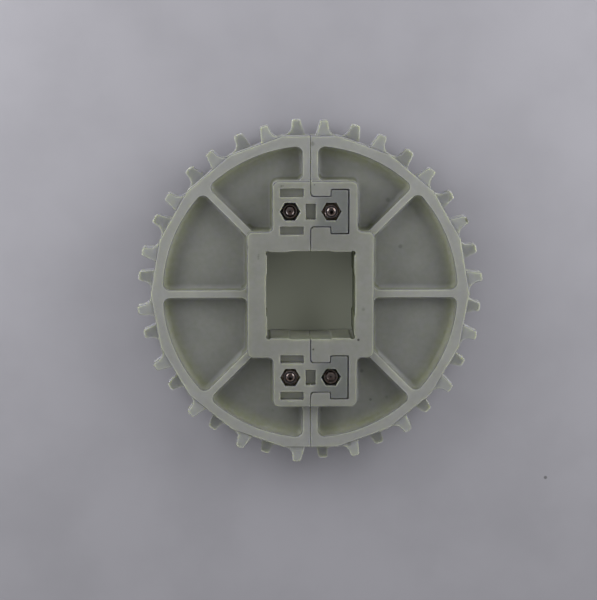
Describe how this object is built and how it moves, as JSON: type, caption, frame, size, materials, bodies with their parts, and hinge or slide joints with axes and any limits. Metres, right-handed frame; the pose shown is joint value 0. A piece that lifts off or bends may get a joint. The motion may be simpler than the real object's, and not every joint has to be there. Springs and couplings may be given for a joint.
{
  "type": "sprocket",
  "caption": "Split sprocket for a modular conveyor belt: square bore, staggered teeth on a faceted rim, ribbed web, halves keyed together and clamped by screws.",
  "frame": {"origin": "centre of the square bore at mid width of the hub", "axes": "+Z along the bore axis, out of the near hub face; +X across the parting line between the halves, +Y along it"},
  "size_m": [0.1594, 0.1592, 0.025],
  "materials": {
    "moulded_plastic": "natural milky plastic with a slight green cast, as moulded",
    "stainless_steel": "plain stainless, smooth turned and pressed faces",
    "nut_insert_plastic": "dark locking ring"
  },
  "bodies": {
    "root": {"left_half": "moulded_plastic", "right_half": "moulded_plastic", "screw_upper_left": "stainless_steel", "screw_upper_right": "stainless_steel", "screw_lower_left": "stainless_steel", "screw_lower_right": "stainless_steel", "locknut_upper_left": "stainless_steel", "locknut_upper_right": "stainless_steel", "locknut_lower_left": "stainless_steel", "locknut_lower_right": "stainless_steel", "locknut_insert_upper_left": "nut_insert_plastic", "locknut_insert_upper_right": "nut_insert_plastic", "locknut_insert_lower_left": "nut_insert_plastic", "locknut_insert_lower_right": "nut_insert_plastic"}
  },
  "joints": []
}
